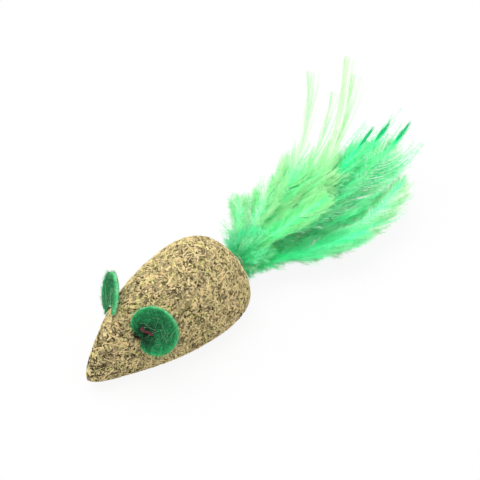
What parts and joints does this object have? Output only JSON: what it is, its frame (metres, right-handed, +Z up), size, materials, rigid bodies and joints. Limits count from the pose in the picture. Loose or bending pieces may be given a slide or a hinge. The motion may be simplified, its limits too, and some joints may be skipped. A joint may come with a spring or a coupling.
{
  "type": "catnip mouse",
  "caption": "Cat toy in the shape of a mouse: a pressed catnip body with a flat belly, two cupped felt ears and a tail of dyed feathers.",
  "frame": {"origin": "on the flat belly, halfway along the body", "axes": "+X to the nose, +Y to the mouse's left, +Z up off the surface it rests on"},
  "size_m": [0.1389, 0.049, 0.0415],
  "materials": {
    "pressed_catnip": "matte",
    "green_felt": "matte",
    "red_thread": "matte",
    "whipping_thread": "matte",
    "glue": "satin",
    "mid_green_feather": "matte",
    "pale_green_feather": "matte"
  },
  "bodies": {
    "mouse": {"catnip_body": "pressed_catnip", "left_ear_glue": "glue", "right_ear_glue": "glue"},
    "ear_on_left": {"left_ear": "green_felt", "left_ear_stitch": "red_thread"},
    "ear_on_right": {"right_ear": "green_felt"},
    "tail_root": {"tail_glue_collar": "glue"},
    "tail": {"quill_whipping": "whipping_thread", "feather_01": "mid_green_feather", "feather_02": "mid_green_feather", "feather_03": "mid_green_feather", "feather_04": "mid_green_feather", "feather_05": "mid_green_feather", "feather_06": "pale_green_feather", "feather_07": "pale_green_feather", "feather_08": "pale_green_feather", "feather_09": "pale_green_feather", "feather_10": "pale_green_feather", "feather_11": "pale_green_feather", "feather_12": "pale_green_feather"}
  },
  "joints": [
    {"name": "left_ear_flex", "type": "hinge", "parent": "mouse", "child": "ear_on_left", "pos_m": [0.01517, 0.00622, 0.01746], "axis": [0.046, 0.6446, -0.7631], "range_deg": [-15, 25], "stiffness_Nm_per_rad": 0.0005},
    {"name": "right_ear_flex", "type": "hinge", "parent": "mouse", "child": "ear_on_right", "pos_m": [0.01517, -0.00622, 0.01746], "axis": [0.5785, 0.802, -0.1488], "range_deg": [-5, 25], "stiffness_Nm_per_rad": 0.0005},
    {"name": "tail_sway", "type": "hinge", "parent": "mouse", "child": "tail_root", "pos_m": [-0.0282, 0, 0.01], "axis": [0, 0, 1], "range_deg": [-14, 14], "stiffness_Nm_per_rad": 0.05},
    {"name": "tail_lift", "type": "hinge", "parent": "tail_root", "child": "tail", "pos_m": [-0.0282, 0, 0.01], "axis": [0, 1, 0], "range_deg": [-5, 12], "stiffness_Nm_per_rad": 0.05}
  ]
}
